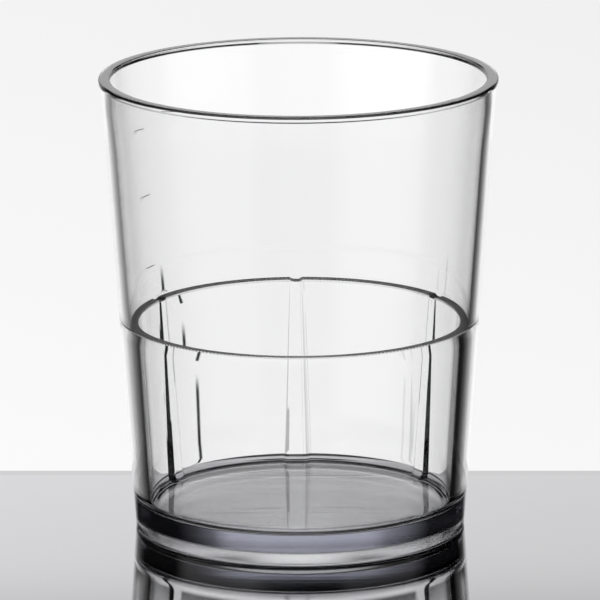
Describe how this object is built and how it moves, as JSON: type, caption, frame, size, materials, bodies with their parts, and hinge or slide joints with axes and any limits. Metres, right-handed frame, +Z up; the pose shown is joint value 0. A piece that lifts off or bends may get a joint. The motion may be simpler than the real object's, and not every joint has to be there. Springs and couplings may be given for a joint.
{
  "type": "plastic tumbler cup",
  "caption": "Clear moulded plastic tumbler, tapered and round, with a small lip at the flat rim, a stacking shoulder half way down inside and three low ribs below it at the back.",
  "frame": {"origin": "centre of the foot ring's underside, where the tumbler stands", "axes": "+Z up along the tumbler's axis towards the open rim; -Y towards the viewer; the middle rib lies close to +Y"},
  "size_m": [0.0802, 0.0802, 0.0926],
  "materials": {
    "clear_plastic": "clear polished styrene-type plastic with a faint cool grey tint"
  },
  "bodies": {
    "root": {"tumbler": "clear_plastic"}
  },
  "joints": []
}
